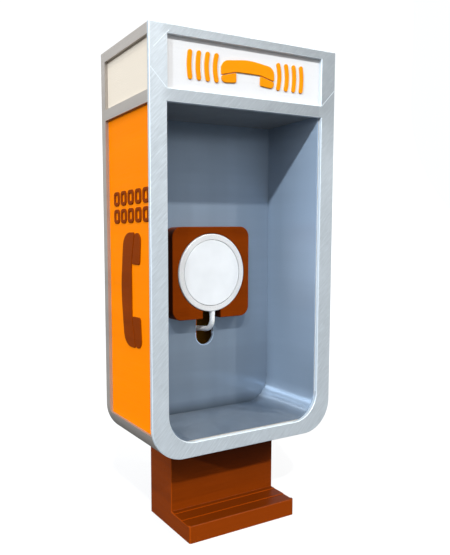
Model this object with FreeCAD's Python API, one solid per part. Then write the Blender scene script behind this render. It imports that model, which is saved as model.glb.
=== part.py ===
import FreeCAD, Part
import math
import os

# Desk-top charging stand in the shape of a public telephone booth, in millimetres.
# Origin: on the desk, under the middle of the cabinet. +X to the right, +Y to the rear, +Z up.

V = FreeCAD.Vector

# Cabinet
WIDTH = 146.0
DEPTH = 68.0
FOOT_HEIGHT = 60.0
BODY_HEIGHT = 265.0
CORNER_R = 22.7
BEZEL = 2.3
WALL = 13.0
ROOM_FLOOR = 71.0
ROOM_CEILING = 281.7
ROOM_CORNER_R = 18.5
TRAY_TOP = ROOM_FLOOR + ROOM_CORNER_R
ROOF_THICKNESS = 6.8
CEILING_THICKNESS = 3.0
BACK_WALL_Y = 19.0
BACK_WALL_THICKNESS = 2.0
EDGE_R = 0.5

# Front openings in the bezel
DOOR_HALF_WIDTH = 61.0
DOOR_SILL = 69.8
DOOR_HEAD = 280.4
DOOR_CORNER_R = 19.5
SIGN_HALF_WIDTH = 60.5
SIGN_LOW = 288.4
SIGN_HIGH = 319.2
SIGN_PANEL_THICKNESS = 2.0
SIGN_PANEL_MARGIN = 2.6
FIT = 0.1

# Side panels, set back in the walls
PANEL_SET_BACK = 2.2
PANEL_THICKNESS = 2.0
BOTTOM_RAIL_TOP = 77.5
MID_RAIL_LOW = 279.6
MID_RAIL_HIGH = 286.8
REAR_STILE = 5.7

# Raised symbols
RELIEF = 0.8
BEAD_R = 0.35
SIDE_HANDSET_LENGTH = 74.6
SIDE_HANDSET_Y = -3.0
SIDE_HANDSET_Z = 166.6
KEY_COLUMNS = 5
KEY_ROWS = 2
KEY_PITCH_Y = 10.2
KEY_PITCH_Z = 11.6
KEY_WIDTH = 8.0
KEY_HEIGHT = 9.4
KEY_STROKE = 2.3
KEYPAD_Y = -4.6
KEYPAD_Z = 220.5
SIGN_MIDDLE_Z = 304.1
SIGN_HANDSET_LENGTH = 42.0
RING_ARCS = 4
RING_FIRST_R = 25.5
RING_PITCH = 6.3
RING_STROKE = 3.1
RING_HALF_HEIGHT = 7.3

# Charger and its holder
CHARGER_Z = 174.6
CHARGER_R = 27.95
CHARGER_Y = 7.5
CHARGER_THICKNESS = 5.0
CHARGER_LIP_R = 23.9
FACE_GAP = 0.35
CHARGER_SKIN = 0.8
CHARGER_TURN = 3.0
HOLDER_SIZE = 66.0
HOLDER_Y = 8.0
HOLDER_CORNER_R = 7.5
POCKET_R = 28.3
POCKET_FLOOR = 12.7
NOTCH_HALF_WIDTH = 7.5
HOLDER_SCREW_OFFSET = 26.0
SLOT_X = 1.0
SLOT_WIDTH = 15.0
SLOT_LOW = 120.5
SLOT_HIGH = 152.0

# Rear cover, let into a rebate round the cabinet's rear edge
COVER_THICKNESS = 2.0
COVER_HALF_WIDTH = 67.0
COVER_LOW = 66.0
COVER_HIGH = 319.0
COVER_CORNER_R = 18.0
COVER_SLOT_X = -3.4
COVER_SLOT_WIDTH = 12.0
COVER_SLOT_LOW = 111.0
COVER_SLOT_HIGH = 142.0
COVER_SCREW_X = 63.5
COVER_SCREW_HEIGHTS = (104.0, 200.0, 296.0)

# Foot
FOOT_HALF_WIDTH = 44.0
FOOT_FRONT = -30.5
FOOT_BACK = 22.3
COLUMN_FRONT = -6.9
FOOT_PLATE = 12.0
FOOT_CORNER_R = 1.2
TREADS = ((-28.6, -20.0, 11.2), (-20.0, -10.5, 11.6))
BOLT_X = 26.0
BOLT_Y = 7.7
BOLT_R = 2.0
INSERT_R = 3.0
INSERT_LENGTH = 6.0

# Cable and plug
CABLE_R = 1.9
RELIEF_LENGTH = 3.2
COIL_X = 64.0
COIL_Y = 69.6
COIL_MID_R = 22.0
COIL_LAYERS = 2
COIL_TURNS_WIDE = 3
PLUG_BODY_LENGTH = 21.0
PLUG_BODY_WIDTH = 11.6
PLUG_BODY_HEIGHT = 6.6
PLUG_SLEEVE_LENGTH = 5.0
PLUG_SHELL_LENGTH = 6.6
PLUG_SHELL_WIDTH = 8.3
PLUG_SHELL_HEIGHT = 2.5
PLUG_SHELL_SKIN = 0.35

HALF = WIDTH / 2.0
FRONT = -DEPTH / 2.0
REAR = DEPTH / 2.0
SHELL_FRONT = FRONT + BEZEL
TOP = FOOT_HEIGHT + BODY_HEIGHT
ROOF_LOW = TOP - ROOF_THICKNESS
ROOM_HALF = HALF - WALL
BACK_WALL_REAR = BACK_WALL_Y + BACK_WALL_THICKNESS
PANEL_FACE = HALF - PANEL_SET_BACK
PANEL_BACK = PANEL_FACE - PANEL_THICKNESS
PANEL_REAR = REAR - REAR_STILE
HOLDER_LOW = CHARGER_Z - HOLDER_SIZE / 2.0
CHARGER_BACK = CHARGER_Y + CHARGER_THICKNESS

# The route of the cable from the charger to the coil, and from the coil to the plug
RUN_ROUTE = [
    (1.6, 10.0, 143.5), (1.8, 10.0, 139.3), (2.0, 12.7, 134.8), (2.1, 17.4, 132.4),
    (0.6, 27.3, 132.2), (-1.0, 38.7, 128.7), (-1.4, 47.8, 120.3), (-0.6, 53.8, 108.4),
    (1.4, 57.2, 86.6), (2.5, 56.6, 57.0), (3.0, 54.6, 33.4), (5.0, 52.7, 19.9),
    (11.0, 50.4, 9.0), (21.0, 47.5, 3.0), (31.6, 45.3, 2.1), (42.6, 44.1, 2.0), (53.9, 43.8, 2.0),
]
TAIL_ROUTE = [
    (54.2, 95.4, 5.8), (48.6, 95.4, 5.6), (42.8, 94.9, 4.9), (37.2, 94.2, 4.0), (32.0, 93.8, 3.5),
]


def box(x0, x1, y0, y1, z0, z1):
    return Part.makeBox(x1 - x0, y1 - y0, z1 - z0, V(x0, y0, z0))


def rod(radius, start, end):
    start = V(*start)
    along = V(*end) - start
    return Part.makeCylinder(radius, along.Length, start, along)


def group(shapes):
    return Part.makeCompound(shapes)


def front_plane(y):
    """Drawing plane facing the front: u is X and v is Z."""
    return lambda u, v: V(u, y, v)


def side_plane(x):
    """Drawing plane facing a side: u is Y and v is Z."""
    return lambda u, v: V(x, u, v)


def flat_plane(z):
    """Drawing plane facing up: u is X and v is Y."""
    return lambda u, v: V(u, v, z)


def rounded_outline(points, radii, plane):
    """Closed outline through the corner points, each corner rounded to its own radius."""
    starts = []
    ends = []
    middles = []
    count = len(points)
    for i in range(count):
        here = V(points[i][0], points[i][1], 0)
        before = V(points[i - 1][0], points[i - 1][1], 0) - here
        after = V(points[(i + 1) % count][0], points[(i + 1) % count][1], 0) - here
        before.normalize()
        after.normalize()
        half = before.getAngle(after) / 2.0
        set_back = radii[i] / math.tan(half)
        bisector = before + after
        bisector.normalize()
        starts.append(here + before * set_back)
        ends.append(here + after * set_back)
        middles.append(here + bisector * (radii[i] / math.sin(half) - radii[i]))
    edges = []
    for i in range(count):
        start = plane(starts[i].x, starts[i].y)
        end = plane(ends[i].x, ends[i].y)
        if radii[i] > 0:
            edges.append(Part.Arc(start, plane(middles[i].x, middles[i].y), end).toShape())
        following = plane(starts[(i + 1) % count].x, starts[(i + 1) % count].y)
        if end.distanceToPoint(following) > 1e-6:
            edges.append(Part.LineSegment(end, following).toShape())
    return Part.Wire(edges)


def prism(points, radii, plane, along):
    """Solid with a rounded outline, carried along a vector."""
    return Part.Face(rounded_outline(points, radii, plane)).extrude(V(*along))


def tub_section(half_width, low, high, radius, y0, y1):
    """Solid with straight sides, a flat top and two rounded bottom corners."""
    corners = [(-half_width, high), (-half_width, low), (half_width, low), (half_width, high)]
    return prism(corners, [0, radius, radius, 0], front_plane(y0), (0, y1 - y0, 0))


def rounded_box(x0, x1, y0, y1, z0, z1, radius):
    """Box whose four edges along Y are rounded."""
    corners = [(x0, z0), (x1, z0), (x1, z1), (x0, z1)]
    return prism(corners, [radius] * 4, front_plane(y0), (0, y1 - y0, 0))


def soften(solid, chosen, radius=EDGE_R):
    """Round the edges for which chosen(edge) is true."""
    edges = [edge for edge in solid.Edges if chosen(edge)]
    return solid.makeFillet(radius, edges)


def on_plane(axis, value):
    """Test whether an edge lies wholly in a plane across the axis."""
    low = axis + "Min"
    high = axis + "Max"

    def lies(edge):
        span = edge.BoundBox
        return abs(getattr(span, low) - value) < 1e-4 and abs(getattr(span, high) - value) < 1e-4

    return lies


SYMBOL_FACE = on_plane("X", -PANEL_FACE - RELIEF)


def both_sides(solid):
    """The solid of the left side and its mirror image on the right."""
    return {"left": solid, "right": solid.mirror(V(0, 0, 0), V(1, 0, 0))}


def handset_outlines(length, u, v, turn):
    """Corners and radii of a telephone handset's handle, ear pad and mouth pad, drawn for the side
    symbol's length with the pads towards -u. With turn the handset lies down, its pads towards -v."""
    size = length / SIDE_HANDSET_LENGTH
    handle = [
        (9.0, 37.3, 10.0), (-6.4, 37.3, 1.5), (-1.6, 17.5, 30.0), (-1.6, -17.5, 30.0),
        (-6.4, -37.3, 1.5), (9.0, -37.3, 10.0), (13.6, 0.0, 90.0),
    ]
    ear = [(-7.2, 36.9, 2.5), (-14.8, 36.6, 5.0), (-13.2, 16.7, 2.0), (-2.4, 17.0, 0.8)]
    mouth = [(a, -b, radius) for a, b, radius in reversed(ear)]
    outlines = []
    for shape in (handle, ear, mouth):
        if turn:
            corners = [(u + b * size, v + a * size) for a, b, radius in reversed(shape)]
            radii = [radius * size for a, b, radius in reversed(shape)]
        else:
            corners = [(u + a * size, v + b * size) for a, b, radius in shape]
            radii = [radius * size for a, b, radius in shape]
        outlines.append((corners, radii))
    return outlines


# ---- Cabinet ----

def make_front_frame():
    plate = tub_section(HALF, FOOT_HEIGHT, TOP, CORNER_R, FRONT, SHELL_FRONT)
    door = tub_section(DOOR_HALF_WIDTH, DOOR_SILL, DOOR_HEAD, DOOR_CORNER_R, FRONT, SHELL_FRONT)
    window = box(-SIGN_HALF_WIDTH, SIGN_HALF_WIDTH, FRONT, SHELL_FRONT, SIGN_LOW, SIGN_HIGH)
    return soften(plate.cut(door).cut(window), on_plane("Y", FRONT))


def sign_rebate(gap):
    half = SIGN_HALF_WIDTH + SIGN_PANEL_MARGIN - gap
    low = SIGN_LOW - SIGN_PANEL_MARGIN + gap
    high = SIGN_HIGH + SIGN_PANEL_MARGIN - gap
    return box(-half, half, SHELL_FRONT, SHELL_FRONT + SIGN_PANEL_THICKNESS, low, high)


def rear_rebate(gap):
    half = COVER_HALF_WIDTH - gap
    return tub_section(half, COVER_LOW + gap, COVER_HIGH - gap, COVER_CORNER_R - gap,
                       REAR - COVER_THICKNESS, REAR)


def cover_screw_places():
    return [(x, z) for x in (-COVER_SCREW_X, COVER_SCREW_X) for z in COVER_SCREW_HEIGHTS]


def make_rear_cover():
    """Closes the cable's space behind the back wall, with a slot that the plug passes through."""
    half = COVER_SLOT_WIDTH / 2.0
    slot = rounded_box(COVER_SLOT_X - half, COVER_SLOT_X + half, REAR - COVER_THICKNESS, REAR,
                       COVER_SLOT_LOW, COVER_SLOT_HIGH, half - 0.01)
    cover = rear_rebate(FIT).cut(slot)
    for x, z in cover_screw_places():
        cover = cover.cut(rod(1.4, (x, REAR - COVER_THICKNESS, z), (x, REAR, z)))
        cover = cover.cut(Part.makeCone(1.2, 2.6, 1.5, V(x, REAR - 1.5, z), V(0, 1, 0)))
    return cover


def make_cover_screws():
    """Countersunk screws, a little below the cover's face."""
    screws = []
    for x, z in cover_screw_places():
        shank = rod(1.2, (x, REAR - 9.0, z), (x, REAR - 1.3, z))
        head = Part.makeCone(1.2, 2.3, 1.2, V(x, REAR - 1.3, z), V(0, 1, 0))
        drive = rod(0.9, (x, REAR - 0.9, z), (x, REAR, z))
        screws.append(shank.fuse(head).cut(drive))
    return group(screws)


def make_base_tray():
    shell = tub_section(HALF, FOOT_HEIGHT, TOP, CORNER_R, SHELL_FRONT, REAR)
    shell = shell.cut(tub_section(ROOM_HALF, ROOM_FLOOR, TOP, ROOM_CORNER_R, SHELL_FRONT, REAR))
    tray = shell.common(box(-HALF, HALF, SHELL_FRONT, REAR, FOOT_HEIGHT, TRAY_TOP))
    for side in (-1, 1):
        inner = side * PANEL_BACK
        outer = side * (HALF + 1)
        recess = box(min(inner, outer), max(inner, outer), SHELL_FRONT, PANEL_REAR,
                     BOTTOM_RAIL_TOP, TRAY_TOP)
        tray = tray.cut(recess)
        hole_bottom = (side * BOLT_X, BOLT_Y, FOOT_HEIGHT)
        hole_top = (side * BOLT_X, BOLT_Y, FOOT_HEIGHT + INSERT_LENGTH + 1.0)
        tray = tray.cut(rod(INSERT_R + 0.02, hole_bottom, hole_top))
    return tray.cut(rear_rebate(0.0))


def make_left_wall():
    wall = box(-HALF, -ROOM_HALF, SHELL_FRONT, REAR, TRAY_TOP, ROOF_LOW)
    for low, high in ((TRAY_TOP, MID_RAIL_LOW), (MID_RAIL_HIGH, ROOF_LOW)):
        wall = wall.cut(box(-HALF, -PANEL_BACK, SHELL_FRONT, PANEL_REAR, low, high))
    for x, z in cover_screw_places():
        wall = wall.cut(rod(1.25, (x, REAR - 9.5, z), (x, REAR, z)))
    return wall.cut(sign_rebate(0.0)).cut(rear_rebate(0.0))


def make_left_panel(low, high):
    return box(-PANEL_FACE, -PANEL_BACK, SHELL_FRONT + FIT, PANEL_REAR - FIT, low + FIT, high - FIT)


def make_roof():
    roof = box(-HALF, HALF, SHELL_FRONT, REAR, ROOF_LOW, TOP)
    roof = roof.cut(sign_rebate(0.0)).cut(rear_rebate(0.0))
    corner = lambda edge: on_plane("Z", TOP)(edge) and not on_plane("Y", SHELL_FRONT)(edge)
    return soften(roof, corner)


def make_back_wall():
    wall = tub_section(ROOM_HALF, ROOM_FLOOR, ROOF_LOW, ROOM_CORNER_R, BACK_WALL_Y, BACK_WALL_REAR)
    half = SLOT_WIDTH / 2.0
    slot = rounded_box(SLOT_X - half, SLOT_X + half, BACK_WALL_Y, BACK_WALL_REAR,
                       SLOT_LOW, SLOT_HIGH, half - 0.01)
    wall = wall.cut(slot)
    for x, z in holder_screw_places():
        wall = wall.cut(rod(1.7, (x, BACK_WALL_Y, z), (x, BACK_WALL_REAR, z)))
    return wall


# ---- Signs and symbols ----

def on_side_panel(corners, radii):
    """Raised shape on the left side panel, before its edges are softened."""
    return prism(corners, radii, side_plane(-PANEL_FACE), (-RELIEF, 0, 0))


def on_sign_panel(corners, radii):
    """Raised shape on the front sign panel, its outer edges softened."""
    raised = prism(corners, radii, front_plane(SHELL_FRONT), (0, -RELIEF, 0))
    return soften(raised, on_plane("Y", SHELL_FRONT - RELIEF), BEAD_R)


def make_left_handset_symbol():
    """A handle and, set a little apart from it, two pads."""
    pieces = []
    for corners, radii in handset_outlines(SIDE_HANDSET_LENGTH, SIDE_HANDSET_Y, SIDE_HANDSET_Z, False):
        pieces.append(soften(on_side_panel(corners, radii), SYMBOL_FACE, BEAD_R))
    return group(pieces)


def make_left_keypad_symbol():
    """Rows of outlined keys."""
    keys = []
    for column in range(KEY_COLUMNS):
        for row in range(KEY_ROWS):
            y = KEYPAD_Y + (column - (KEY_COLUMNS - 1) / 2.0) * KEY_PITCH_Y
            z = KEYPAD_Z + (row - (KEY_ROWS - 1) / 2.0) * KEY_PITCH_Z
            rings = []
            for inset, radius in ((0.0, 2.6), (KEY_STROKE, 0.7)):
                a = KEY_WIDTH / 2.0 - inset
                b = KEY_HEIGHT / 2.0 - inset
                corners = [(y - a, z - b), (y + a, z - b), (y + a, z + b), (y - a, z + b)]
                rings.append(on_side_panel(corners, [radius] * 4))
            keys.append(soften(rings[0].cut(rings[1]), SYMBOL_FACE, BEAD_R))
    return group(keys)


def ring_arc(side, radius):
    """Curved bar with rounded ends, one of the ringing lines beside the handset."""
    y0 = SHELL_FRONT - RELIEF
    half = RING_STROKE / 2.0
    sweep = math.asin(RING_HALF_HEIGHT / radius)
    ends = []
    for sign in (-1, 1):
        angle = sign * sweep
        x = side * radius * math.cos(angle)
        z = SIGN_MIDDLE_Z + radius * math.sin(angle)
        ends.append(rod(half, (x, y0, z), (x, SHELL_FRONT, z)))
    centre = (0, y0, SIGN_MIDDLE_Z)
    back = (0, SHELL_FRONT, SIGN_MIDDLE_Z)
    ring = rod(radius + half, centre, back).cut(rod(radius - half, centre, back))
    reach = side * (radius + RING_STROKE)
    wedge_points = [
        (0.0, SIGN_MIDDLE_Z), (reach, SIGN_MIDDLE_Z - abs(reach) * math.tan(sweep)),
        (reach, SIGN_MIDDLE_Z + abs(reach) * math.tan(sweep)),
    ]
    wedge = prism(wedge_points, [0, 0, 0], front_plane(y0), (0, RELIEF, 0))
    arc = ring.common(wedge).fuse(ends).removeSplitter()
    return soften(arc, on_plane("Y", y0), BEAD_R)


def make_sign_motif():
    pieces = []
    for corners, radii in handset_outlines(SIGN_HANDSET_LENGTH, 0.0, SIGN_MIDDLE_Z, True):
        pieces.append(on_sign_panel(corners, radii))
    for side in (-1, 1):
        for i in range(RING_ARCS):
            pieces.append(ring_arc(side, RING_FIRST_R + i * RING_PITCH))
    return group(pieces)


# ---- Charger holder ----

def holder_screw_places():
    offset = HOLDER_SCREW_OFFSET
    return [(x, CHARGER_Z + z) for x in (-offset, offset) for z in (-offset, offset)]


def make_charger_holder():
    half = HOLDER_SIZE / 2.0
    block = rounded_box(-half, half, HOLDER_Y, BACK_WALL_Y, HOLDER_LOW, HOLDER_LOW + HOLDER_SIZE,
                        HOLDER_CORNER_R)
    block = block.cut(rod(POCKET_R, (0, HOLDER_Y, CHARGER_Z), (0, POCKET_FLOOR, CHARGER_Z)))
    notch = box(-NOTCH_HALF_WIDTH, NOTCH_HALF_WIDTH, HOLDER_Y, BACK_WALL_Y,
                HOLDER_LOW, HOLDER_LOW + 9.0)
    block = block.cut(notch)
    for x, z in holder_screw_places():
        block = block.cut(rod(1.5, (x, BACK_WALL_Y - 7.0, z), (x, BACK_WALL_Y, z)))
    return soften(block, on_plane("Y", HOLDER_Y), 0.6)


def make_holder_screws():
    screws = []
    for x, z in holder_screw_places():
        shank = rod(1.45, (x, BACK_WALL_Y - 6.5, z), (x, BACK_WALL_REAR, z))
        head = rod(2.8, (x, BACK_WALL_REAR, z), (x, BACK_WALL_REAR + 2.2, z))
        drive = rod(1.2, (x, BACK_WALL_REAR + 1.0, z), (x, BACK_WALL_REAR + 2.2, z))
        screws.append(shank.fuse(head).cut(drive))
    return group(screws)


# ---- Charger ----

def turned(shape):
    """The charger sits in its pocket turned a little, so its cable leaves off centre."""
    copy = shape.copy()
    copy.rotate(V(0, 0, CHARGER_Z), V(0, 1, 0), -CHARGER_TURN)
    return copy


def disc(radius, y0, y1):
    return rod(radius, (0, y0, CHARGER_Z), (0, y1, CHARGER_Z))


def charger_ring(outer, inner, y0, y1):
    return disc(outer, y0, y1).cut(disc(inner, y0, y1))


def make_charger_shell():
    outside = disc(CHARGER_R, CHARGER_Y, CHARGER_BACK)
    outside = outside.makeFillet(0.7, [e for e in outside.Edges if e.Length > CHARGER_R * 4])
    hollow = disc(CHARGER_R - CHARGER_SKIN, CHARGER_Y + CHARGER_SKIN, CHARGER_BACK - CHARGER_SKIN)
    mouth = disc(CHARGER_LIP_R, CHARGER_Y, CHARGER_Y + CHARGER_SKIN)
    middle_y = CHARGER_Y + CHARGER_THICKNESS / 2.0
    low = CHARGER_Z - CHARGER_R
    hole = rod(1.55, (0, middle_y, low + 2.0), (0, middle_y, low - 1.0))
    return turned(outside.cut(hollow).cut(mouth).cut(hole))


def make_charger_face():
    face = disc(CHARGER_LIP_R - FACE_GAP, CHARGER_Y + 0.1, CHARGER_Y + CHARGER_SKIN)
    return soften(face, on_plane("Y", CHARGER_Y + 0.1), 0.25)


def make_magnet_ring(count=18):
    """Magnets round the rim, with gaps between them and a wide one at the cable."""
    ring = charger_ring(26.4, 22.6, CHARGER_Y + 1.1, CHARGER_Y + 2.1)
    magnets = []
    step = 360.0 / count
    reach = CHARGER_R
    for i in range(1, count):
        middle = math.radians(-90.0 + i * step)
        half = math.radians(step / 2.0 - 1.2)
        points = [(0.0, CHARGER_Z)]
        for angle in (middle - half, middle + half):
            points.append((reach * math.cos(angle), CHARGER_Z + reach * math.sin(angle)))
        wedge = prism(points, [0, 0, 0], front_plane(CHARGER_Y), (0, CHARGER_THICKNESS, 0))
        magnets.append(turned(ring.common(wedge)))
    return group(magnets)


def make_board_components():
    parts = []
    places = ((0, 6, 7, 7), (-9, 5, 4, 3), (9, 6, 3, 4), (-5, -8, 5, 2.5), (6, -7, 3, 2.5))
    for x, z, width, height in places:
        low = CHARGER_Z + z - height / 2.0
        parts.append(box(x - width / 2.0, x + width / 2.0, CHARGER_Y + 3.5, CHARGER_Y + 4.1,
                         low, low + height))
    return group([turned(part) for part in parts])


def make_strain_relief():
    """Tapered sleeve on the charger's rim, with a stub through the rim's hole."""
    middle_y = CHARGER_Y + CHARGER_THICKNESS / 2.0
    rim = CHARGER_Z - CHARGER_R
    stub = rod(1.5, (0, middle_y, rim + CHARGER_SKIN), (0, middle_y, rim))
    sleeve = Part.makeCone(2.2, CABLE_R + 0.1, RELIEF_LENGTH, V(0, middle_y, rim), V(0, 0, -1))
    return turned(stub.fuse(sleeve))


# ---- Cable and plug ----

def cable_path(points, name):
    """Straight runs joined by tangent arcs, each arc as large as its two runs allow."""
    corners = [V(*point) for point in points]
    edges = []
    length = 0.0
    radii = []
    last = corners[0]
    for i in range(1, len(corners) - 1):
        before = corners[i] - corners[i - 1]
        after = corners[i + 1] - corners[i]
        turn = before.getAngle(after)
        set_back = 0.45 * min(before.Length, after.Length)
        radius = set_back / math.tan(turn / 2.0)
        before.normalize()
        after.normalize()
        start = corners[i] - before * set_back
        end = corners[i] + after * set_back
        inward = after - before
        inward.normalize()
        sagitta = radius * (1.0 / math.cos(turn / 2.0) - 1.0)
        edges.append(Part.LineSegment(last, start).toShape())
        edges.append(Part.Arc(start, corners[i] + inward * sagitta, end).toShape())
        length += last.distanceToPoint(start) + radius * turn
        radii.append(radius)
        last = end
    edges.append(Part.LineSegment(last, corners[-1]).toShape())
    length += last.distanceToPoint(corners[-1])
    print(name, "length", round(length, 1), "radii", [round(radius, 1) for radius in radii])
    return Part.Wire(edges), length


def make_tube(points, name):
    path, length = cable_path(points, name)
    along = V(*points[1]) - V(*points[0])
    circle = Part.Wire([Part.Circle(V(*points[0]), along, CABLE_R).toShape()])
    tube = path.makePipeShell([circle], True, False)
    print(name, "volume over section times length", tube.Volume / (math.pi * CABLE_R ** 2 * length))
    return tube


def make_cable_coil():
    """Outer shape of the neat round coil."""
    width = COIL_TURNS_WIDE * CABLE_R
    height = COIL_LAYERS * 2.0 * CABLE_R
    bottom = (COIL_X, COIL_Y, 0.1)
    top = (COIL_X, COIL_Y, 0.1 + height)
    return rod(COIL_MID_R + width, bottom, top).cut(rod(COIL_MID_R - width, bottom, top))


def plug_section(width, height, x0, x1):
    """Flat-sided oval bar along X, centred on the cable's end."""
    y = TAIL_ROUTE[-1][1]
    z = TAIL_ROUTE[-1][2]
    a = width / 2.0
    b = height / 2.0
    corners = [(y - a, z - b), (y + a, z - b), (y + a, z + b), (y - a, z + b)]
    return prism(corners, [b - 0.01] * 4, side_plane(x0), (x1 - x0, 0, 0))


def make_plug_body():
    start = TAIL_ROUTE[-1]
    neck = start[0] - PLUG_SLEEVE_LENGTH
    sleeve = Part.makeCone(CABLE_R + 0.1, 2.7, PLUG_SLEEVE_LENGTH, V(*start), V(-1, 0, 0))
    body = plug_section(PLUG_BODY_WIDTH, PLUG_BODY_HEIGHT, neck - PLUG_BODY_LENGTH, neck)
    ends = [e for e in body.Edges if abs(e.BoundBox.XLength) < 1e-4]
    return body.makeFillet(0.8, ends).fuse(sleeve).removeSplitter()


def plug_face_x():
    return TAIL_ROUTE[-1][0] - PLUG_SLEEVE_LENGTH - PLUG_BODY_LENGTH


def make_plug_shell():
    face = plug_face_x()
    skin = 2.0 * PLUG_SHELL_SKIN
    outer = plug_section(PLUG_SHELL_WIDTH, PLUG_SHELL_HEIGHT, face - PLUG_SHELL_LENGTH, face)
    inner = plug_section(PLUG_SHELL_WIDTH - skin, PLUG_SHELL_HEIGHT - skin,
                         face - PLUG_SHELL_LENGTH, face)
    return outer.cut(inner)


def make_plug_tongue():
    face = plug_face_x()
    y = TAIL_ROUTE[-1][1]
    z = TAIL_ROUTE[-1][2]
    return box(face - 4.6, face, y - 3.2, y + 3.2, z - 0.35, z + 0.35)


# ---- Foot ----

def column_corner(edge):
    """The column's two upright front corners."""
    return on_plane("Y", COLUMN_FRONT)(edge) and edge.BoundBox.ZLength > FOOT_HEIGHT / 2.0


def make_foot():
    """One angle-shaped print: an upright column and, in front of it, a plate with shallow treads."""
    half = FOOT_HALF_WIDTH
    corners = [
        (FOOT_BACK, 0.0), (FOOT_FRONT, 0.0), (FOOT_FRONT, FOOT_PLATE), (COLUMN_FRONT, FOOT_PLATE),
        (COLUMN_FRONT, FOOT_HEIGHT), (FOOT_BACK, FOOT_HEIGHT),
    ]
    foot = prism(corners, [0, 0, 0.8, 0.3, 0, 0], side_plane(-half), (2.0 * half, 0, 0))
    plan = [(-half, FOOT_BACK), (-half, FOOT_FRONT), (half, FOOT_FRONT), (half, FOOT_BACK)]
    plan_radii = [0.8, FOOT_CORNER_R, FOOT_CORNER_R, 0.8]
    foot = foot.common(prism(plan, plan_radii, flat_plane(0.0), (0, 0, FOOT_HEIGHT)))
    foot = soften(foot, column_corner)
    for front, back, height in TREADS:
        foot = foot.cut(box(-half, half, front, back, height, FOOT_PLATE + 0.5))
    for x in (-BOLT_X, BOLT_X):
        foot = foot.cut(rod(BOLT_R + 0.25, (x, BOLT_Y, 0), (x, BOLT_Y, FOOT_HEIGHT)))
        foot = foot.cut(rod(4.0, (x, BOLT_Y, 0), (x, BOLT_Y, 5.0)))
    return foot


def make_foot_bolts():
    bolts = []
    for x in (-BOLT_X, BOLT_X):
        shank = rod(BOLT_R - 0.05, (x, BOLT_Y, 4.5), (x, BOLT_Y, FOOT_HEIGHT + INSERT_LENGTH))
        head = rod(3.5, (x, BOLT_Y, 1.0), (x, BOLT_Y, 5.0))
        drive = rod(1.5, (x, BOLT_Y, 1.0), (x, BOLT_Y, 3.0))
        bolts.append(shank.fuse(head).cut(drive))
    return group(bolts)


def make_threaded_inserts():
    inserts = []
    for x in (-BOLT_X, BOLT_X):
        bottom = (x, BOLT_Y, FOOT_HEIGHT)
        top = (x, BOLT_Y, FOOT_HEIGHT + INSERT_LENGTH)
        inserts.append(rod(INSERT_R, bottom, top).cut(rod(BOLT_R, bottom, top)))
    return group(inserts)


def make_parts():
    parts = {
        "front_frame": make_front_frame(),
        "base_tray": make_base_tray(),
        "roof": make_roof(),
        "ceiling_panel": box(-ROOM_HALF, ROOM_HALF, SHELL_FRONT, BACK_WALL_Y,
                             ROOM_CEILING, ROOM_CEILING + CEILING_THICKNESS),
        "back_wall": make_back_wall(),
        "rear_cover": make_rear_cover(),
        "cover_screws": make_cover_screws(),
        "sign_panel": sign_rebate(FIT),
        "sign_motif": make_sign_motif(),
        "charger_holder": make_charger_holder(),
        "holder_screws": make_holder_screws(),
        "charger_shell": make_charger_shell(),
        "charger_face": make_charger_face(),
        "magnet_ring": make_magnet_ring(),
        "charging_coil": charger_ring(20.5, 10.5, CHARGER_Y + 1.1, CHARGER_Y + 1.9),
        "ferrite_shield": disc(21.5, CHARGER_Y + 2.0, CHARGER_Y + 2.5),
        "charger_board": disc(20.0, CHARGER_Y + 2.7, CHARGER_Y + 3.5),
        "board_components": make_board_components(),
        "strain_relief": make_strain_relief(),
        "cable_run": make_tube(RUN_ROUTE, "cable_run"),
        "cable_coil": make_cable_coil(),
        "cable_tail": make_tube(TAIL_ROUTE, "cable_tail"),
        "plug_body": make_plug_body(),
        "plug_shell": make_plug_shell(),
        "plug_tongue": make_plug_tongue(),
        "foot": make_foot(),
        "foot_bolts": make_foot_bolts(),
        "threaded_inserts": make_threaded_inserts(),
    }
    mirrored = {
        "wall": make_left_wall(),
        "side_panel": make_left_panel(BOTTOM_RAIL_TOP, MID_RAIL_LOW),
        "sign_side_panel": make_left_panel(MID_RAIL_HIGH, ROOF_LOW),
        "handset_symbol": make_left_handset_symbol(),
        "keypad_symbol": make_left_keypad_symbol(),
    }
    for name, shape in mirrored.items():
        for side, solid in both_sides(shape).items():
            parts[side + "_" + name] = solid
    return parts


os.makedirs("parts", exist_ok=True)
for node, shape in make_parts().items():
    print(node, "solids", len(shape.Solids), "valid", shape.isValid(), "mm3", round(shape.Volume))
    shape.exportStep("parts/" + node + ".step")
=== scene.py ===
import math

import bpy
import numpy as np
from mathutils import Matrix, Vector


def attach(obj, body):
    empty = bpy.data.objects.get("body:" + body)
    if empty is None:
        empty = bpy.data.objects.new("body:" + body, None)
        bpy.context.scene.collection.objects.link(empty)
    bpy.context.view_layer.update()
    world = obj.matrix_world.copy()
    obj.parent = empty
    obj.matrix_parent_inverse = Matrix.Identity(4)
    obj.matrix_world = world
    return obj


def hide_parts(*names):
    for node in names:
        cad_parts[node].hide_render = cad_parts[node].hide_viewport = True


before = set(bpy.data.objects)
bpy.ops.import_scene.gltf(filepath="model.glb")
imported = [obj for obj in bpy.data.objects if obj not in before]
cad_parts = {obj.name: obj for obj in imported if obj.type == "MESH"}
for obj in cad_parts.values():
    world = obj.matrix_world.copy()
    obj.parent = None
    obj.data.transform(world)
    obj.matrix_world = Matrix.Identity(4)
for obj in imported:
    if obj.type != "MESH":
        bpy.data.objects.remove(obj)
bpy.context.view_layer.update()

bl_info = {
    "name": "Telephone booth charging stand",
    "version": (1, 0, 0),
    "blender": (4, 5, 0),
    "location": "View3D > Sidebar > Booth Stand",
    "description": "Builds the looks of a desk-top charging stand shaped like a telephone booth",
    "category": "Object",
}

# A wave texture repeats once in this length divided by its scale
WAVE_TURN = math.pi / 10.0

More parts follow.
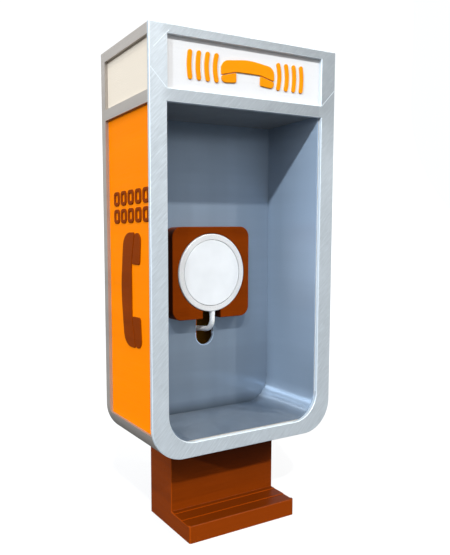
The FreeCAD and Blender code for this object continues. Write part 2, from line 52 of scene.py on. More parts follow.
# The cable's route from the charger to the coil, and from the coil to the plug, in metres
RUN_ROUTE = [
    (0.0016, 0.0100, 0.1435), (0.0018, 0.0100, 0.1393), (0.0020, 0.0127, 0.1348),
    (0.0021, 0.0174, 0.1324), (0.0006, 0.0273, 0.1322), (-0.0010, 0.0387, 0.1287),
    (-0.0014, 0.0478, 0.1203), (-0.0006, 0.0538, 0.1084), (0.0014, 0.0572, 0.0866),
    (0.0025, 0.0566, 0.0570), (0.0030, 0.0546, 0.0334), (0.0050, 0.0527, 0.0199),
    (0.0110, 0.0504, 0.0090), (0.0210, 0.0475, 0.0030), (0.0316, 0.0453, 0.0021),
    (0.0426, 0.0441, 0.0020), (0.0539, 0.0438, 0.0020),
]
TAIL_ROUTE = [
    (0.0542, 0.0954, 0.0058), (0.0486, 0.0954, 0.0056), (0.0428, 0.0949, 0.0049),
    (0.0372, 0.0942, 0.0040), (0.0320, 0.0938, 0.0035),
]
COIL_CENTRE = (0.0640, 0.0696)
COIL_RINGS = (0.0258, 0.0220, 0.0182)
COIL_POINTS = 16
CABLE_DIAMETER = 0.0038


# Outline of the front frame and its openings: half width, lowest height, corner radius, in metres
FRAME_OUTLINE = (0.0730, 0.0600, 0.0227)
DOOR_OUTLINE = (0.0610, 0.0698, 0.0195)
DOOR_TOP = 0.2806
SIGN_BOTTOM = 0.2882
SIGN_TOP = 0.3194
FRAME_TOP = 0.3248

# The inside of the room: half width and floor height, and the lower end of its cable slot
ROOM_HALF = 0.0605
ROOM_FLOOR = 0.0705
SLOT_MIDDLE = (0.0010, 0.1280)
SLOT_RADIUS = 0.0075

# The foot's edges: side, plate's front, the treads' edges, column's front, plate's top
FOOT_SIDE = 0.0439
FOOT_FRONT = -0.0303
TREAD_EDGES = (-0.0200, -0.0105)
COLUMN_FRONT = -0.0070
PLATE_TOP = 0.0118

# Half the width of a thin painted highlight line, also used as the reach of a face's mask
LINE = 0.0003


# ---- Sizes and colours that a user would change ----

class BoothColours(bpy.types.PropertyGroup):
    front_silver: bpy.props.FloatVectorProperty(
        name="Front silver", description="Silk silver of the front frame and the rails",
        subtype="COLOR", default=(0.52, 0.56, 0.59), min=0.0, max=1.0)
    rail_silver: bpy.props.FloatVectorProperty(
        name="Rail silver", description="Warmer silver of the side rails, the roof and the back",
        subtype="COLOR", default=(0.44, 0.39, 0.345), min=0.0, max=1.0)
    # Painted reflection and shade: the front's silver made bluer and darker for the sky reflected inside
    # the room and the shade there
    room_silver: bpy.props.FloatVectorProperty(
        name="Room silver", description="Bluish silver of the walls inside the booth",
        subtype="COLOR", default=(0.32, 0.395, 0.49), min=0.0, max=1.0)
    # Painted shade: a darker copy of the room's silver for the shaded panel over the room
    ceiling_silver: bpy.props.FloatVectorProperty(
        name="Ceiling silver", description="Darker silver of the panel over the room",
        subtype="COLOR", default=(0.25, 0.265, 0.27), min=0.0, max=1.0)
    orange: bpy.props.FloatVectorProperty(
        name="Orange", description="Side panels and rear cover",
        subtype="COLOR", default=(0.82, 0.195, 0.0), min=0.0, max=1.0)
    sign_orange: bpy.props.FloatVectorProperty(
        name="Sign orange", description="Symbols on the front sign",
        subtype="COLOR", default=(0.78, 0.26, 0.002), min=0.0, max=1.0)
    brown: bpy.props.FloatVectorProperty(
        name="Brown", description="Foot, charger holder and side symbols",
        subtype="COLOR", default=(0.182, 0.0275, 0.0005), min=0.0, max=1.0)
    cream: bpy.props.FloatVectorProperty(
        name="Cream", description="Side sign panels",
        subtype="COLOR", default=(0.69, 0.59, 0.475), min=0.0, max=1.0)
    sign_white: bpy.props.FloatVectorProperty(
        name="Sign white", description="Front sign panel",
        subtype="COLOR", default=(0.665, 0.65, 0.645), min=0.0, max=1.0)


class BoothSizes(bpy.types.PropertyGroup):
    layer_height: bpy.props.FloatProperty(
        name="Layer height", description="Height of one printed layer",
        subtype="DISTANCE", unit="LENGTH", default=0.0003, min=0.0001, max=0.001)
    raster_width: bpy.props.FloatProperty(
        name="Raster width", description="Width of one bead of the slanting raster on flat tops",
        subtype="DISTANCE", unit="LENGTH", default=0.0006, min=0.0002, max=0.002)
    stage_size: bpy.props.FloatProperty(
        name="Stage size", description="Half width of the floor",
        subtype="DISTANCE", unit="LENGTH", default=2.5, min=0.5, max=10.0)


def colours():
    """The colours that a user may change."""
    return bpy.context.scene.booth_colours


def sizes():
    """The sizes that a user may change."""
    return bpy.context.scene.booth_sizes


# ---- Material helpers ----

class Nodes:
    """A material being built, with a short call for each kind of node."""

    def __init__(self, name):
        self.material = bpy.data.materials.new(name)
        self.material.use_nodes = True
        self.tree = self.material.node_tree
        self.shader = self.tree.nodes["Principled BSDF"]

    def add(self, kind, **values):
        node = self.tree.nodes.new(kind)
        for key, value in values.items():
            setattr(node, key, value)
        return node

    def link(self, source, target):
        self.tree.links.new(source, target)

    def set(self, **values):
        names = {
            "roughness": "Roughness", "metallic": "Metallic", "coat": "Coat Weight",
            "specular": "Specular IOR Level", "anisotropic": "Anisotropic",
            "subsurface": "Subsurface Weight", "subsurface_scale": "Subsurface Scale",
        }
        for key, value in values.items():
            self.shader.inputs[names[key]].default_value = value

    def place(self, turn=(0.0, 0.0, 0.0), stretch=(1.0, 1.0, 1.0)):
        """Object coordinates for a pattern that is stretched and then turned."""
        coordinates = self.add("ShaderNodeTexCoord")
        mapping = self.add("ShaderNodeMapping", vector_type="TEXTURE")
        mapping.inputs["Rotation"].default_value = turn
        mapping.inputs["Scale"].default_value = stretch
        self.link(coordinates.outputs["Object"], mapping.inputs["Vector"])
        return mapping.outputs["Vector"]

    def parts(self, vector):
        """A vector's three parts."""
        split = self.add("ShaderNodeSeparateXYZ")
        self.link(vector, split.inputs[0])
        return split.outputs

    def axes(self):
        """The distance from the middle plane, the depth and the height, as three values."""
        x, y, z = self.parts(self.place())
        return self.math("ABSOLUTE", x, 0.0), y, z

    def facing(self):
        """The three parts of the direction that the surface faces."""
        return self.parts(self.add("ShaderNodeNewGeometry").outputs["Normal"])

    def near(self, value, middle, reach):
        """1 where the value is within reach of the middle, else 0."""
        away = self.math("ABSOLUTE", self.math("SUBTRACT", value, middle), 0.0)
        return self.math("LESS_THAN", away, reach)

    def brushed(self, direction, amount):
        """Stretch the highlights along one direction, as far as it lies in the surface."""
        surface = self.add("ShaderNodeNewGeometry")
        across = self.add("ShaderNodeVectorMath", operation="PROJECT")
        across.inputs[0].default_value = direction
        self.link(surface.outputs["Normal"], across.inputs[1])
        along = self.add("ShaderNodeVectorMath", operation="SUBTRACT")
        along.inputs[0].default_value = direction
        self.link(across.outputs[0], along.inputs[1])
        self.link(along.outputs[0], self.shader.inputs["Tangent"])
        self.set(anisotropic=amount)

    def noise(self, place, scale, detail=3.0, roughness=0.5):
        node = self.add("ShaderNodeTexNoise")
        node.inputs["Scale"].default_value = scale
        node.inputs["Detail"].default_value = detail
        node.inputs["Roughness"].default_value = roughness
        self.link(place, node.inputs["Vector"])
        return node.outputs["Fac"]

    def wave(self, place, scale, direction="Z", distortion=0.0, detail=0.0):
        node = self.add("ShaderNodeTexWave", bands_direction=direction)
        node.inputs["Scale"].default_value = scale
        node.inputs["Distortion"].default_value = distortion
        node.inputs["Detail"].default_value = detail
        self.link(place, node.inputs["Vector"])
        return node.outputs["Fac"]

    def ramp(self, value, stops):
        node = self.add("ShaderNodeValToRGB")
        elements = node.color_ramp.elements
        while len(elements) < len(stops):
            elements.new(0.5)
        for element, (position, colour) in zip(elements, stops):
            element.position = position
            element.color = (*colour, 1.0)
        self.link(value, node.inputs["Fac"])
        return node.outputs["Color"]

    def range(self, value, low, high, from_low=0.0, from_high=1.0):
        node = self.add("ShaderNodeMapRange")
        node.inputs["From Min"].default_value = from_low
        node.inputs["From Max"].default_value = from_high
        node.inputs["To Min"].default_value = low
        node.inputs["To Max"].default_value = high
        self.link(value, node.inputs["Value"])
        return node.outputs["Result"]

    def math(self, operation, first, second):
        node = self.add("ShaderNodeMath", operation=operation)
        for i, value in enumerate((first, second)):
            if isinstance(value, (int, float)):
                node.inputs[i].default_value = value
            else:
                self.link(value, node.inputs[i])
        return node.outputs[0]

    def blend(self, factor, first, second, mode="MIX"):
        node = self.add("ShaderNodeMix", data_type="RGBA", blend_type=mode)
        ends = ((node.inputs[0], factor), (node.inputs[6], first), (node.inputs[7], second))
        for socket, value in ends:
            if isinstance(value, (int, float)):
                socket.default_value = value
            elif isinstance(value, tuple):
                socket.default_value = (*value, 1.0)
            else:
                self.link(value, socket)
        return node.outputs[2]

    def bump(self, height, distance, strength=1.0, under=None):
        node = self.add("ShaderNodeBump")
        node.inputs["Distance"].default_value = distance
        node.inputs["Strength"].default_value = strength
        self.link(height, node.inputs["Height"])
        if under is not None:
            self.link(under, node.inputs["Normal"])
        self.link(node.outputs["Normal"], self.shader.inputs["Normal"])
        return node.outputs["Normal"]

    def colour(self, socket):
        self.link(socket, self.shader.inputs["Base Color"])

    def roughness(self, socket):
        self.link(socket, self.shader.inputs["Roughness"])


def shade(colour, factor):
    """A colour made lighter or darker by a factor, kept within 0 and 1."""
    return tuple(min(1.0, max(0.0, c * factor)) for c in colour)


def give(material, *nodes):
    """Put one material on CAD nodes."""
    for name in nodes:
        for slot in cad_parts[name].material_slots:
            slot.material = material


def left_and_right(name):
    """The names of a piece that stands on both sides."""
    return ["left_" + name, "right_" + name]


# ---- Materials ----

def tub_distance(m, axes, half, low, radius):
    """Distance outwards from the outline of a tub: sqrt(max(x - a, 0)^2 + max(b - z, 0)^2) - r, where
    (a, b) is the middle of its rounded bottom corner."""
    side, depth, height = axes
    across = m.math("MAXIMUM", m.math("SUBTRACT", side, half - radius), 0.0)
    down = m.math("MAXIMUM", m.math("SUBTRACT", low + radius, height), 0.0)
    square = m.math("ADD", m.math("MULTIPLY", across, across), m.math("MULTIPLY", down, down))
    return m.math("SUBTRACT", m.math("POWER", square, 0.5), radius)


def frame_edge_highlights(m, axes):
    """1 along the painted highlights on the front frame's edges: its outline, the door and the sign
    opening.
    """
    side, depth, height = axes
    outline = m.near(tub_distance(m, axes, *FRAME_OUTLINE), -0.0002, 0.0002)
    door = m.near(tub_distance(m, axes, *DOOR_OUTLINE), 0.0002, 0.0002)
    door = m.math("MULTIPLY", door, m.math("LESS_THAN", height, DOOR_TOP))
    level = m.near(height, FRAME_TOP, LINE)
    for edge in (SIGN_TOP, SIGN_BOTTOM, DOOR_TOP):
        level = m.math("MAXIMUM", level, m.near(height, edge, LINE))
    inside = m.math("MAXIMUM", m.math("LESS_THAN", side, 0.0608), m.math("GREATER_THAN", height, 0.3240))
    level = m.math("MULTIPLY", level, inside)
    upright = m.math("MULTIPLY", m.near(side, 0.0607, LINE), m.near(height, 0.3038, 0.0157))
    return m.math("MAXIMUM", m.math("MAXIMUM", outline, door), m.math("MAXIMUM", level, upright))


def printed_seams(m, side, height):
    """Thin seams at 45 degrees by the sign's lower corners and its upper left one, where the slanting
    raster changes direction."""
    away = m.math("ABSOLUTE", side, 0.0)
    inwards = m.math("MULTIPLY", m.math("SUBTRACT", height, away), math.sqrt(0.5))
    outwards = m.math("MULTIPLY", m.math("ADD", height, away), math.sqrt(0.5))
    thin = 0.0002
    low = m.math("MULTIPLY", m.near(inwards, 0.1605, thin), m.near(outwards, 0.2549, 0.0078))
    rising = m.math("MULTIPLY", m.math("SUBTRACT", height, side), math.sqrt(0.5))
    left = m.math("MULTIPLY", m.near(rising, 0.2692, thin), m.near(inwards, 0.1775, 0.0075))
    return m.math("MAXIMUM", low, left)


def front_silver_material():
    """Silk silver with the slanting raster of a printed top layer: stretched streaks at 45 degrees,
    with painted shade on the rails, whose raster runs the other way, and towards the upper right."""
    m = Nodes("front_silver")
    base = tuple(colours().front_silver)
    width = sizes().raster_width
    slant = m.place(turn=(0.0, math.radians(45.0), 0.0), stretch=(1.0, 1.0, 9.0))
    streaks = m.noise(slant, 0.6 / width, detail=4.0, roughness=0.62)
    patches = m.noise(m.place(), 45.0, detail=2.0)
    tone = m.ramp(streaks, [(0.30, shade(base, 0.86)), (0.52, base), (0.72, shade(base, 1.18))])
    tone = m.blend(m.range(patches, 0.0, 0.35, 0.35, 0.7), tone, shade(base, 1.12))
    across, depth, height = m.parts(m.place())
    axes = m.axes()
    # Painted shade: the rails and the frame's upper right are darkened where their reflection looks
    # duller
    rails = m.math("MAXIMUM", m.near(height, 0.3222, 0.0031), m.near(height, 0.2844, 0.0041))
    rails = m.math("MULTIPLY", rails, m.range(across, 0.30, 0.60, -0.06, 0.06))
    rails = m.math("MULTIPLY", rails, m.range(axes[0], 1.0, 0.0, 0.058, 0.066))
    upwards = m.range(height, 0.22, 1.0, 0.250, 0.290)
    right = m.math("MULTIPLY", m.range(across, 0.0, 0.55, -0.05, 0.06), upwards)
    tone = m.blend(m.math("MAXIMUM", rails, right), tone, shade(base, 0.30))
    # Painted highlights: thin lighter lines along the frame's outline, door and sign edges
    tone = m.blend(frame_edge_highlights(m, axes), tone, shade(base, 1.25))
    tone = m.blend(printed_seams(m, across, height), tone, shade(base, 1.35))
    m.colour(tone)
    m.roughness(m.range(streaks, 0.34, 0.52, 0.3, 0.7))
    m.set(metallic=0.38)
    beads = m.wave(m.place(turn=(0.0, math.radians(45.0), 0.0)), WAVE_TURN / width, "X", 0.6, 2.0)
    under = m.bump(streaks, 0.0002, 0.5)
    m.bump(beads, 0.00006, 0.5, under)
    return m.material


def layered_tone(m, base, light, dark):
    """Colour of a print whose layers lie level: fine bands up Z, soft wide ones, and clouds."""
    level = m.place(stretch=(20.0, 20.0, 1.0))
    wide = m.noise(level, 70.0, detail=3.0, roughness=0.55)
    fine = m.noise(level, 900.0, detail=2.0, roughness=0.6)
    patches = m.noise(m.place(), 22.0, detail=2.0)
    tone = m.ramp(wide, [(0.30, shade(base, dark)), (0.70, shade(base, light))])
    tone = m.blend(m.range(fine, 0.0, 0.35, 0.35, 0.7), tone, shade(base, light))
    tone = m.blend(m.range(patches, 0.0, 0.3, 0.4, 0.65), tone, shade(base, dark))
    return tone, fine


def layered_surface(m, tone, fine, metallic, rough, specular, relief=1.0):
    """Gloss and relief of a print whose layers lie level."""
    m.colour(tone)
    m.roughness(m.range(fine, rough - 0.06, rough + 0.10, 0.3, 0.7))
    m.set(metallic=metallic, specular=specular)
    layers = m.wave(m.place(), WAVE_TURN / sizes().layer_height, "Z", 0.3, 1.0)
    under = m.bump(fine, 0.00015, 0.5 * relief)
    m.bump(layers, 0.00005, 0.5 * relief, under)
    return m.material


def layered_material(name, base, metallic, rough, light=1.10, dark=0.90, specular=0.15):
    """A print of one colour whose layers lie level."""
    m = Nodes(name)
    tone, fine = layered_tone(m, base, light, dark)
    return layered_surface(m, tone, fine, metallic, rough, specular)


def slot_rim_highlight(m):
    """1 along the painted highlight on the rim of the cable slot's lower end: sqrt((x - a)^2 + min(z -
    b, 0)^2) - r.
    """
    x, depth, height = m.parts(m.place())
    across = m.math("SUBTRACT", x, SLOT_MIDDLE[0])
    down = m.math("MINIMUM", m.math("SUBTRACT", height, SLOT_MIDDLE[1]), 0.0)
    square = m.math("ADD", m.math("MULTIPLY", across, across), m.math("MULTIPLY", down, down))
    away = m.math("SUBTRACT", m.math("POWER", square, 0.5), SLOT_RADIUS)
    return m.math("MULTIPLY", m.near(away, LINE, LINE), m.math("LESS_THAN", height, 0.1300))


def cabinet_material(name, brushing):
    """Walls and tray: the rails' silver outside and the bluish silver inside the room, where soft
    upright bands cross the level layers, with painted light towards the front, painted shade on the
    floor and low on the back wall, and a painted highlight on the cable slot's lower rim."""
    m = Nodes(name)
    outside, fine = layered_tone(m, tuple(colours().rail_silver), 1.08, 0.90)
    inside, fine = layered_tone(m, tuple(colours().room_silver), 1.06, 0.94)
    upright = m.noise(m.place(stretch=(1.0, 1.0, 12.0)), 55.0, detail=1.0)
    inside = m.blend(m.range(upright, 0.0, 0.5, 0.40, 0.65), inside, shade(colours().room_silver, 0.88))
    side, depth, height = m.axes()
    # Painted light: the room's walls lightened towards the front, more so higher up
    forwards = m.range(depth, 0.6, 0.0, -0.034, 0.004)
    front = m.math("MULTIPLY", forwards, m.range(height, 0.0, 1.0, 0.10, 0.20))
    inside = m.blend(front, inside, shade(colours().room_silver, 1.7))
    # Painted shade: the floor and the lowest part of the walls blended towards black
    black = (0.0, 0.0, 0.0)
    inside = m.blend(m.range(height, 0.58, 0.0, 0.0712, 0.0800), inside, black)
    # Painted shade: the lower back of the room blended towards black
    backwards = m.range(depth, 0.0, 1.0, 0.010, 0.022)
    rear = m.math("MULTIPLY", backwards, m.range(height, 0.28, 0.0, 0.090, 0.150))
    inside = m.blend(rear, inside, black)
    # Painted highlight: a lighter line along the cable slot's lower rim
    inside = m.blend(slot_rim_highlight(m), inside, shade(colours().room_silver, 1.9))
    within = m.math("LESS_THAN", side, ROOM_HALF)
    room = m.math("MULTIPLY", within, m.math("GREATER_THAN", height, ROOM_FLOOR))
    m.brushed(brushing, 1.0)
    return layered_surface(m, m.blend(room, outside, inside), fine, 0.5, 0.36, 0.4, 0.12)


def holder_material():
    """Brown print, with painted shade making its sides much darker than its front."""
    m = Nodes("brown_holder")
    base = tuple(colours().brown)
    tone, fine = layered_tone(m, base, 1.2, 0.85)
    # Painted shade: faces that look sideways blended towards near-black
    sideways = m.range(m.math("ABSOLUTE", m.facing()[0], 0.0), 0.0, 0.85, 0.3, 0.9)
    tone = m.blend(sideways, tone, shade(base, 0.05))
    return layered_surface(m, tone, fine, 0.0, 0.36, 0.02)


def cover_material():
    """Orange print, with painted shade on its inner side towards the room."""
    m = Nodes("orange_cover")
    base = tuple(colours().orange)
    tone, fine = layered_tone(m, base, 1.04, 0.93)
    # Painted shade: faces looking towards the room take a dark brown
    tone = m.blend(m.math("LESS_THAN", m.facing()[1], -0.5), tone, (0.16, 0.065, 0.004))
    return layered_surface(m, tone, fine, 0.0, 0.42, 0.02)


def foot_material():
    """Brown print in a darker copy of the brown for painted shade: painted highlights as thin lines
    along the steps and the upright corners, painted shade on the plate's top, a painted shadow on the
    column's upper part and painted light on the plate's front."""
    m = Nodes("brown_foot")
    # Painted shade: the foot takes a darker copy of the holder's brown
    base = shade(colours().brown, 0.88)
    tone, fine = layered_tone(m, base, 1.25, 0.80)
    side, depth, height = m.axes()
    # Painted shade: the plate's upward faces darkened
    upwards = m.math("GREATER_THAN", m.facing()[2], 0.7)
    top = m.math("MULTIPLY", upwards, m.math("LESS_THAN", height, 0.0130))
    tone = m.blend(m.math("MULTIPLY", top, 0.40), tone, shade(base, 0.2))
    # Painted highlights: thin lighter lines along the treads' edges, the column's corners, the plate's
    # ends and nose
    first, second = (m.near(depth, edge, 0.00018) for edge in TREAD_EDGES)
    steps = m.math("MULTIPLY", m.math("MAXIMUM", first, second), m.near(height, 0.0117, 0.0006))
    corner = m.math("MULTIPLY", m.near(side, FOOT_SIDE, LINE), m.near(depth, COLUMN_FRONT, 0.0004))
    corner = m.math("MULTIPLY", corner, m.math("GREATER_THAN", height, PLATE_TOP))
    ends = m.math("MULTIPLY", m.near(side, FOOT_SIDE, LINE), m.near(height, 0.0115, 0.0005))
    ends = m.math("MULTIPLY", ends, m.math("LESS_THAN", depth, -0.0066))
    nose_highlight = m.math("MULTIPLY", m.near(side, 0.0436, LINE), m.near(depth, -0.0301, LINE))
    bright = m.math("MAXIMUM", m.math("MAXIMUM", steps, nose_highlight), m.math("MAXIMUM", corner, ends))
    tone = m.blend(bright, tone, shade(base, 1.6))
    # Painted shadow: the column's front darkened towards the booth above it
    column = m.math("MULTIPLY", m.near(depth, -0.0069, LINE), m.range(height, 0.0, 0.8, 0.022, 0.058))
    tone = m.blend(column, tone, shade(base, 0.12))
    # Painted light: the plate's front face lightened
    front = m.math("LESS_THAN", depth, FOOT_FRONT)
    tone = m.blend(m.math("MULTIPLY", front, 0.5), tone, shade(base, 1.5))
    return layered_surface(m, tone, fine, 0.0, 0.34, 0.07)


def smooth_material(name, base, rough, metallic=0.0, coat=0.0):
    """Moulded or turned finish: faint cloud in the colour, fine grain in the gloss."""
    m = Nodes(name)
    cloud = m.noise(m.place(), 60.0, detail=2.0)
    fine = m.noise(m.place(), 2400.0, detail=2.0)
    m.colour(m.ramp(cloud, [(0.3, shade(base, 0.95)), (0.7, shade(base, 1.04))]))
    m.roughness(m.range(fine, max(0.02, rough - 0.05), rough + 0.06, 0.3, 0.7))
    m.set(metallic=metallic, coat=coat)
    m.bump(fine, 0.00002, 0.5)
    return m.material


# ---- Stage ----

class BOOTH_OT_camera(bpy.types.Operator):
    """Places the camera on the stand's front left, a little below its middle."""
    bl_idname = "booth.camera"
    bl_label = "Camera"

    def execute(self, context):
        data = bpy.data.cameras.new("camera")
        data.sensor_width = 36.0
        data.lens = 37.03
        data.shift_x = 0.1791
        data.shift_y = 0.0268
        camera = bpy.data.objects.new("camera", data)
        context.scene.collection.objects.link(camera)
        yaw = math.radians(26.19)
        pitch = math.radians(-5.37)
        roll = math.radians(-0.79)
        level = math.cos(pitch)
        forward = Vector((math.sin(yaw) * level, math.cos(yaw) * level, math.sin(pitch)))
        across = Vector((math.cos(yaw), -math.sin(yaw), 0.0))
        upright = across.cross(forward)
        right = across * math.cos(roll) + upright * math.sin(roll)
        up = upright * math.cos(roll) - across * math.sin(roll)
        turn = Matrix((right, up, -forward)).transposed().to_4x4()
        camera.matrix_world = Matrix.Translation((-0.2372, -0.3330, 0.1999)) @ turn
        context.scene.camera = camera
        return {"FINISHED"}


# A row of lamps high in front of the stand: how far each shines sideways for one step back, its
# strength and its colour; all shine downwards by the same amount
LAMPS = (
    ("lamp_far_left", 2.3, 2.4, (0.80, 0.90, 1.0)),
    ("lamp_left", 1.0, 0.7, (0.85, 0.93, 1.0)),
    ("lamp_middle", 0.5, 1.5, (0.95, 0.98, 1.0)),
    ("lamp_right", -0.59, 1.0, (1.0, 0.96, 0.90)),
    ("lamp_far_right", -1.04, 0.45, (1.0, 0.96, 0.90)),
)
LAMP_DROP = 1.06
LAMP_ANGLE = math.radians(1.6)


def sun_light(name, along, strength, colour):
    """One lamp that shines along a direction."""
    data = bpy.data.lights.new(name, "SUN")
    data.angle = LAMP_ANGLE
    data.energy = strength
    data.color = colour
    light = bpy.data.objects.new(name, data)
    bpy.context.scene.collection.objects.link(light)
    light.rotation_euler = along.to_track_quat("-Z", "Y").to_euler()
    return light


def studio_world(context):
    """Soft light all round: bright above, dim below, a little brighter on the left; white behind."""
    world = bpy.data.worlds.new("studio")
    world.use_nodes = True
    nodes = world.node_tree.nodes
    links = world.node_tree.links
    background = nodes["Background"]
    background.inputs["Color"].default_value = (0.92, 0.96, 1.0, 1.0)
    coordinates = nodes.new("ShaderNodeTexCoord")
    split = nodes.new("ShaderNodeSeparateXYZ")
    links.new(coordinates.outputs["Generated"], split.inputs[0])
    product = nodes.new("ShaderNodeMath")
    product.operation = "MULTIPLY"
    ranges = (("Z", 0, -0.30, 0.45, 0.16, 0.95), ("X", 1, 0.30, 0.85, 1.15, 0.60))
    for axis, place, from_low, from_high, to_low, to_high in ranges:
        graded = nodes.new("ShaderNodeMapRange")
        graded.inputs["From Min"].default_value = from_low
        graded.inputs["From Max"].default_value = from_high
        graded.inputs["To Min"].default_value = to_low
        graded.inputs["To Max"].default_value = to_high
        links.new(split.outputs[axis], graded.inputs["Value"])
        links.new(graded.outputs["Result"], product.inputs[place])
    path = nodes.new("ShaderNodeLightPath")
    seen = nodes.new("ShaderNodeMix")
    seen.data_type = "FLOAT"
    links.new(path.outputs["Is Camera Ray"], seen.inputs[0])
    links.new(product.outputs[0], seen.inputs[2])
    seen.inputs[3].default_value = 1.08
    links.new(seen.outputs[0], background.inputs["Strength"])
    context.scene.world = world


class BOOTH_OT_stage(bpy.types.Operator):
    """Makes the pale floor, which sweeps up into a wall far behind, and the soft lights."""
    bl_idname = "booth.stage"
    bl_label = "Floor and lights"

    def execute(self, context):
        half = sizes().stage_size
        u = np.linspace(0.0, 1.0, 60)
        flat = half * 1.6
        bend = half * 0.5
        # level up to the bend, then a quarter circle, then straight up
        along = u * (flat + bend * math.pi / 2 + half)
        angle = np.clip((along - flat) / bend, 0.0, math.pi / 2)
        y = np.minimum(along, flat) + bend * np.sin(angle) - half
        z = bend * (1.0 - np.cos(angle)) + np.maximum(along - flat - bend * math.pi / 2, 0.0)
        profile = np.stack([np.zeros_like(y), y, z], axis=1)
        across = np.array([-half * 1.5, half * 1.5])
        grid = np.repeat(profile[:, None, :], 2, axis=1)
        grid[:, :, 0] = across[None, :]
        floor = surface_piece("stage_floor", grid, False, False)
        m = Nodes("stage_pale")
        cloud = m.noise(m.place(), 1.5)
        m.colour(m.ramp(cloud, [(0.3, (0.20, 0.20, 0.20)), (0.7, (0.21, 0.21, 0.21))]))
        m.set(roughness=0.9, specular=0.1)
        m.shader.inputs["Emission Color"].default_value = (1.0, 1.0, 1.0, 1.0)
        m.shader.inputs["Emission Strength"].default_value = 0.74
        floor.data.materials.append(m.material)
        floor.visible_diffuse = False
        floor.visible_glossy = False
        studio_world(context)
        for name, sideways, strength, colour in LAMPS:
            sun_light(name, Vector((sideways, 1.0, -LAMP_DROP)), strength, colour)
        context.scene.view_settings.view_transform = "Standard"
        return {"FINISHED"}


# ---- Surfaces ----

def surface_piece(name, grid, close_u, close_v, caps=False):
    """A mesh from a grid of points: quads between neighbours along both parameters, closed where asked,
    and with caps the first and last rings of a tube closed by one face each."""
    rows, columns = grid.shape[:2]
    numbers = np.arange(rows * columns).reshape(rows, columns)
    next_row = np.roll(numbers, -1, axis=0)
    next_column = np.roll(numbers, -1, axis=1)
    both = np.roll(next_row, -1, axis=1)
    quads = np.stack([numbers, next_column, both, next_row], axis=-1)
    quads = quads[: rows if close_u else rows - 1, : columns if close_v else columns - 1]
    faces = quads.reshape(-1, 4).tolist()
    if caps:
        faces.append(numbers[0, ::-1].tolist())
        faces.append(numbers[-1].tolist())
    mesh = bpy.data.meshes.new(name)
    mesh.from_pydata(grid.reshape(-1, 3).tolist(), [], faces)
    mesh.validate()
    mesh.polygons.foreach_set("use_smooth", np.ones(len(mesh.polygons), dtype=bool))
    piece = bpy.data.objects.new(name, mesh)
    bpy.context.scene.collection.objects.link(piece)
    return piece


# ---- Cable ----

def coil_points():
    """Control points of the put-away coil: rings one diameter apart, each joined to the next over the
    last part of a turn, inwards on the lower layer and outwards again on the upper one."""
    outer, middle, inner = COIL_RINGS
    low = RUN_ROUTE[-1][2]
    high = TAIL_ROUTE[0][2]
    # each turn: radius at its start and end, height at its start and end
    turns = [
        (outer, middle, low, low), (middle, inner, low, low), (inner, inner, low, high),
        (inner, middle, high, high), (middle, outer, high, high), (outer, outer, high, high),
    ]
    reach = 1.0 / (0.75 + 0.25 * math.cos(2.0 * math.pi / COIL_POINTS))
    points = []
    for number, (r0, r1, z0, z1) in enumerate(turns):
        steps = COIL_POINTS if number < len(turns) - 1 else COIL_POINTS // 2 + 1
        for step in range(steps):
            share = min(max((step - 0.8 * COIL_POINTS) / (0.2 * COIL_POINTS), 0.0), 1.0)
            dip = 0.0017 * math.sin(math.pi * share) if z1 > z0 else 0.0
            radius = (r0 + (r1 - r0) * share - dip) * reach
            angle = 2.0 * math.pi * step / COIL_POINTS - math.pi / 2.0
            x = COIL_CENTRE[0] + radius * math.cos(angle)
            y = COIL_CENTRE[1] + radius * math.sin(angle)
            points.append((x, y, z0 + (z1 - z0) * share))
    return points


def cable_material():
    """White jacket: faint cloud in the colour, fine grain in the surface."""
    m = Nodes("cable_jacket")
    cloud = m.noise(m.place(), 120.0, detail=2.0)
    m.colour(m.ramp(cloud, [(0.3, (0.88, 0.88, 0.88)), (0.7, (0.93, 0.93, 0.92))]))
    m.set(roughness=0.42, subsurface=0.05, subsurface_scale=0.001)
    m.bump(m.noise(m.place(), 1800.0), 0.00002, 0.4)
    return m.material


class BOOTH_OT_cable(bpy.types.Operator):
    """Lays the cable as one smooth line from the charger, through the slot and down behind the stand,
    round its put-away coil and out to the plug."""
    bl_idname = "booth.cable"
    bl_label = "Cable"

    def execute(self, context):
        curve = bpy.data.curves.new("cable", "CURVE")
        curve.dimensions = "3D"
        curve.bevel_depth = CABLE_DIAMETER / 2.0
        curve.bevel_resolution = 5
        curve.resolution_u = 8
        curve.use_fill_caps = True
        points = RUN_ROUTE + coil_points() + TAIL_ROUTE
        spline = curve.splines.new("NURBS")
        spline.points.add(len(points) - 1)
        weighted = np.ones((len(points), 4))
        weighted[:, :3] = points
        spline.points.foreach_set("co", weighted.ravel())
        spline.order_u = 3
        spline.use_endpoint_u = True
        cable = bpy.data.objects.new("cable", curve)
        context.scene.collection.objects.link(cable)
        curve.materials.append(cable_material())
        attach(cable, "charger")
        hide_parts("cable_run", "cable_coil", "cable_tail")
        return {"FINISHED"}


# ---- Finishes of the CAD pieces ----

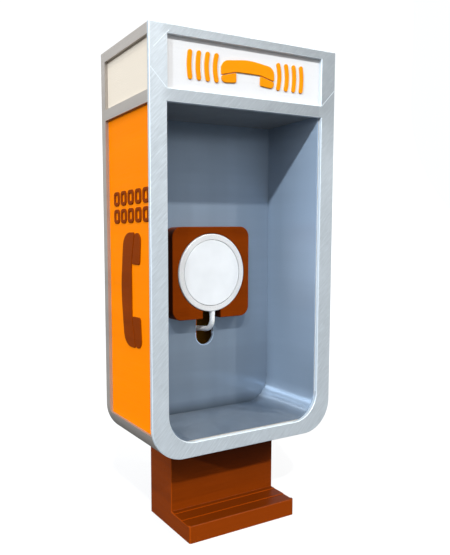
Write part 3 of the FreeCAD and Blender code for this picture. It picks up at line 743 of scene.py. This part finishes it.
class BOOTH_OT_finishes(bpy.types.Operator):
    """Gives every printed, moulded and metal piece its own finish."""
    bl_idname = "booth.finishes"
    bl_label = "Finishes"

    def execute(self, context):
        c = colours()
        give(front_silver_material(), "front_frame")
        give(cabinet_material("cabinet_silver", (0.03, 1.0, 0.05)), "base_tray", *left_and_right("wall"))
        give(cabinet_material("back_silver", (1.0, 0.03, 0.05)), "back_wall")
        give(layered_material("rail_silver", tuple(c.rail_silver), 0.45, 0.42, specular=0.4), "roof")
        # Painted shade: the ceiling panel takes the darker copy of the silver
        ceiling = layered_material("ceiling_silver", tuple(c.ceiling_silver), 0.3, 0.45, specular=0.4)
        give(ceiling, "ceiling_panel")
        give(layered_material("sign_white", tuple(c.sign_white), 0.0, 0.5, 1.02, 0.98), "sign_panel")
        give(layered_material("side_cream", tuple(c.cream), 0.0, 0.5, 1.02, 0.97),
             *left_and_right("sign_side_panel"))
        give(layered_material("orange_print", tuple(c.orange), 0.0, 0.42, 1.04, 0.93, 0.02),
             *left_and_right("side_panel"))
        give(cover_material(), "rear_cover")
        motif = layered_material("sign_orange", tuple(c.sign_orange), 0.0, 0.42, 1.04, 0.93, 0.02)
        give(motif, "sign_motif")
        give(layered_material("brown_print", tuple(c.brown), 0.0, 0.36, 1.2, 0.85, 0.02),
             *left_and_right("handset_symbol"), *left_and_right("keypad_symbol"))
        give(holder_material(), "charger_holder")
        give(foot_material(), "foot")
        give(smooth_material("charger_metal", (0.83, 0.82, 0.81), 0.3, metallic=0.25), "charger_shell")
        give(smooth_material("charger_white", (0.77, 0.78, 0.79), 0.4), "charger_face")
        give(smooth_material("plug_white", (0.85, 0.85, 0.85), 0.35), "plug_body", "strain_relief")
        give(smooth_material("plug_steel", (0.62, 0.62, 0.63), 0.28, metallic=1.0), "plug_shell")
        give(smooth_material("screw_steel", (0.45, 0.45, 0.46), 0.32, metallic=1.0),
             "holder_screws", "cover_screws", "foot_bolts")
        give(smooth_material("insert_brass", (0.75, 0.55, 0.25), 0.3, metallic=1.0), "threaded_inserts")
        give(smooth_material("magnet_nickel", (0.6, 0.6, 0.6), 0.2, metallic=1.0), "magnet_ring")
        give(smooth_material("coil_copper", (0.72, 0.30, 0.12), 0.3, metallic=0.9), "charging_coil")
        give(smooth_material("ferrite_dark", (0.03, 0.03, 0.035), 0.6), "ferrite_shield")
        give(smooth_material("board_green", (0.02, 0.12, 0.05), 0.4, coat=0.5), "charger_board")
        give(smooth_material("chip_black", (0.02, 0.02, 0.02), 0.5), "board_components", "plug_tongue")
        return {"FINISHED"}


class BOOTH_PT_panel(bpy.types.Panel):
    """Lists the pieces that this add-on makes."""
    bl_idname = "BOOTH_PT_panel"
    bl_label = "Booth Stand"
    bl_space_type = "VIEW_3D"
    bl_region_type = "UI"
    bl_category = "Booth Stand"

    def draw(self, context):
        for group in (context.scene.booth_colours, context.scene.booth_sizes):
            for name in group.__annotations__:
                self.layout.prop(group, name)
        for step in STEPS:
            self.layout.operator(step.bl_idname)


STEPS = (BOOTH_OT_camera, BOOTH_OT_cable, BOOTH_OT_stage, BOOTH_OT_finishes)
CLASSES = (BoothColours, BoothSizes) + STEPS + (BOOTH_PT_panel,)


def register():
    for cls in CLASSES:
        bpy.utils.register_class(cls)
    bpy.types.Scene.booth_colours = bpy.props.PointerProperty(type=BoothColours)
    bpy.types.Scene.booth_sizes = bpy.props.PointerProperty(type=BoothSizes)


def unregister():
    del bpy.types.Scene.booth_sizes
    del bpy.types.Scene.booth_colours
    for cls in reversed(CLASSES):
        bpy.utils.unregister_class(cls)


def main():
    register()
    for step in STEPS:
        family, name = step.bl_idname.split(".")
        getattr(getattr(bpy.ops, family), name)()


if __name__ == "__main__":
    main()
